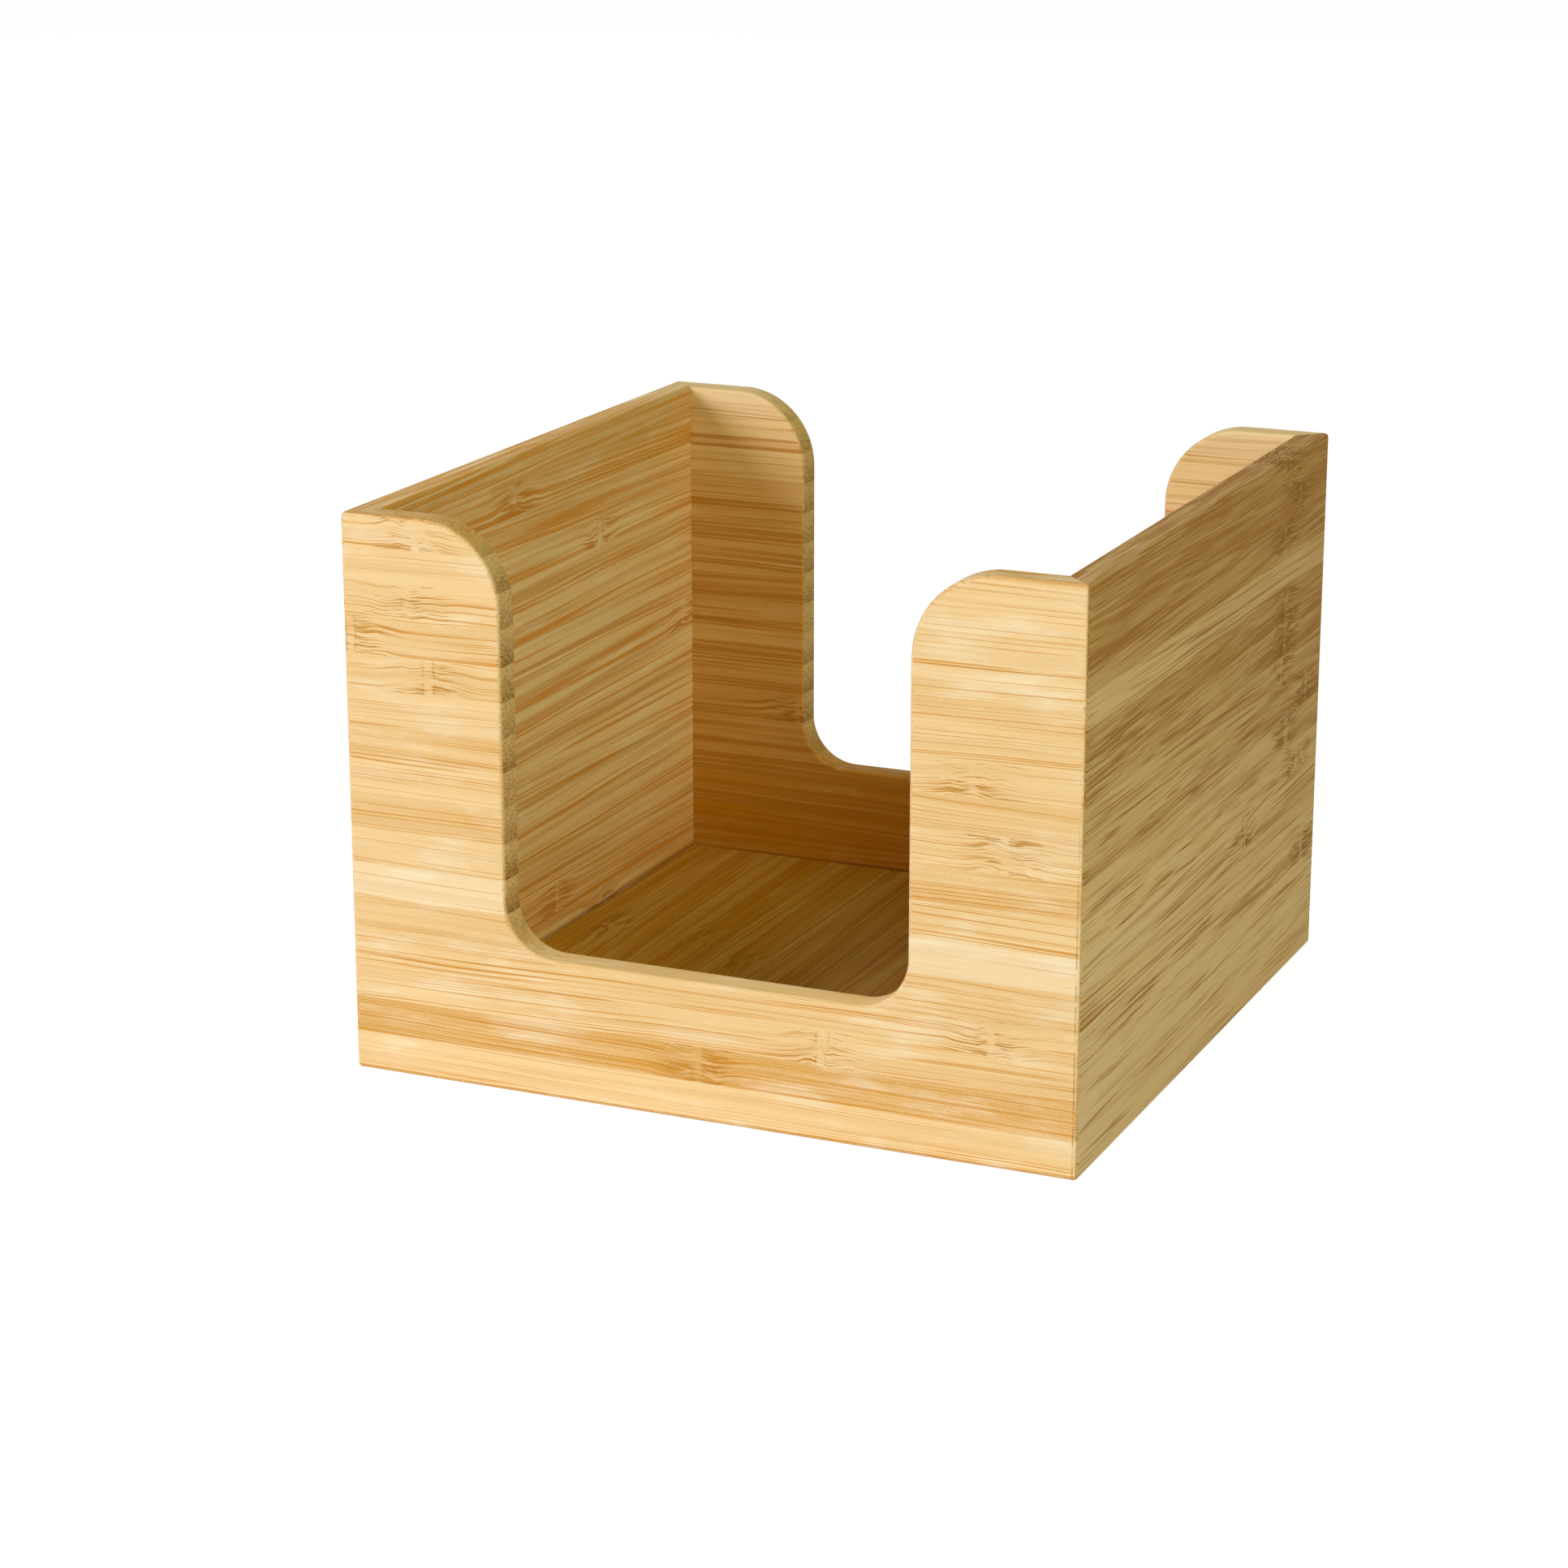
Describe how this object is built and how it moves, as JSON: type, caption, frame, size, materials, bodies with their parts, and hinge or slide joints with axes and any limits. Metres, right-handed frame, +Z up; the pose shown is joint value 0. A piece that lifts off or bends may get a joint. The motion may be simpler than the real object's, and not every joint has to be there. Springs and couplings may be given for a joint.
{
  "type": "napkin holder",
  "caption": "Open-topped square bamboo box of mitred boards with a deep U-shaped hand cut-out front and back, for holding a stack of folded napkins on a table.",
  "frame": {"origin": "middle of the foot, on the table", "axes": "+Z up, the front board with its cut-out faces -Y, +X to the right seen from the front"},
  "size_m": [0.145, 0.145, 0.108],
  "materials": {
    "bamboo_wall": "sanded side-pressed bamboo, clear satin lacquer",
    "bamboo_floor": "sanded side-pressed bamboo, clear satin lacquer",
    "bamboo_spline": "sawn bamboo, glued in"
  },
  "bodies": {
    "root": {"front_panel": "bamboo_wall", "back_panel": "bamboo_wall", "left_panel": "bamboo_wall", "right_panel": "bamboo_wall", "base_panel": "bamboo_floor", "front_left_spline": "bamboo_spline", "front_right_spline": "bamboo_spline", "back_left_spline": "bamboo_spline", "back_right_spline": "bamboo_spline"}
  },
  "joints": []
}
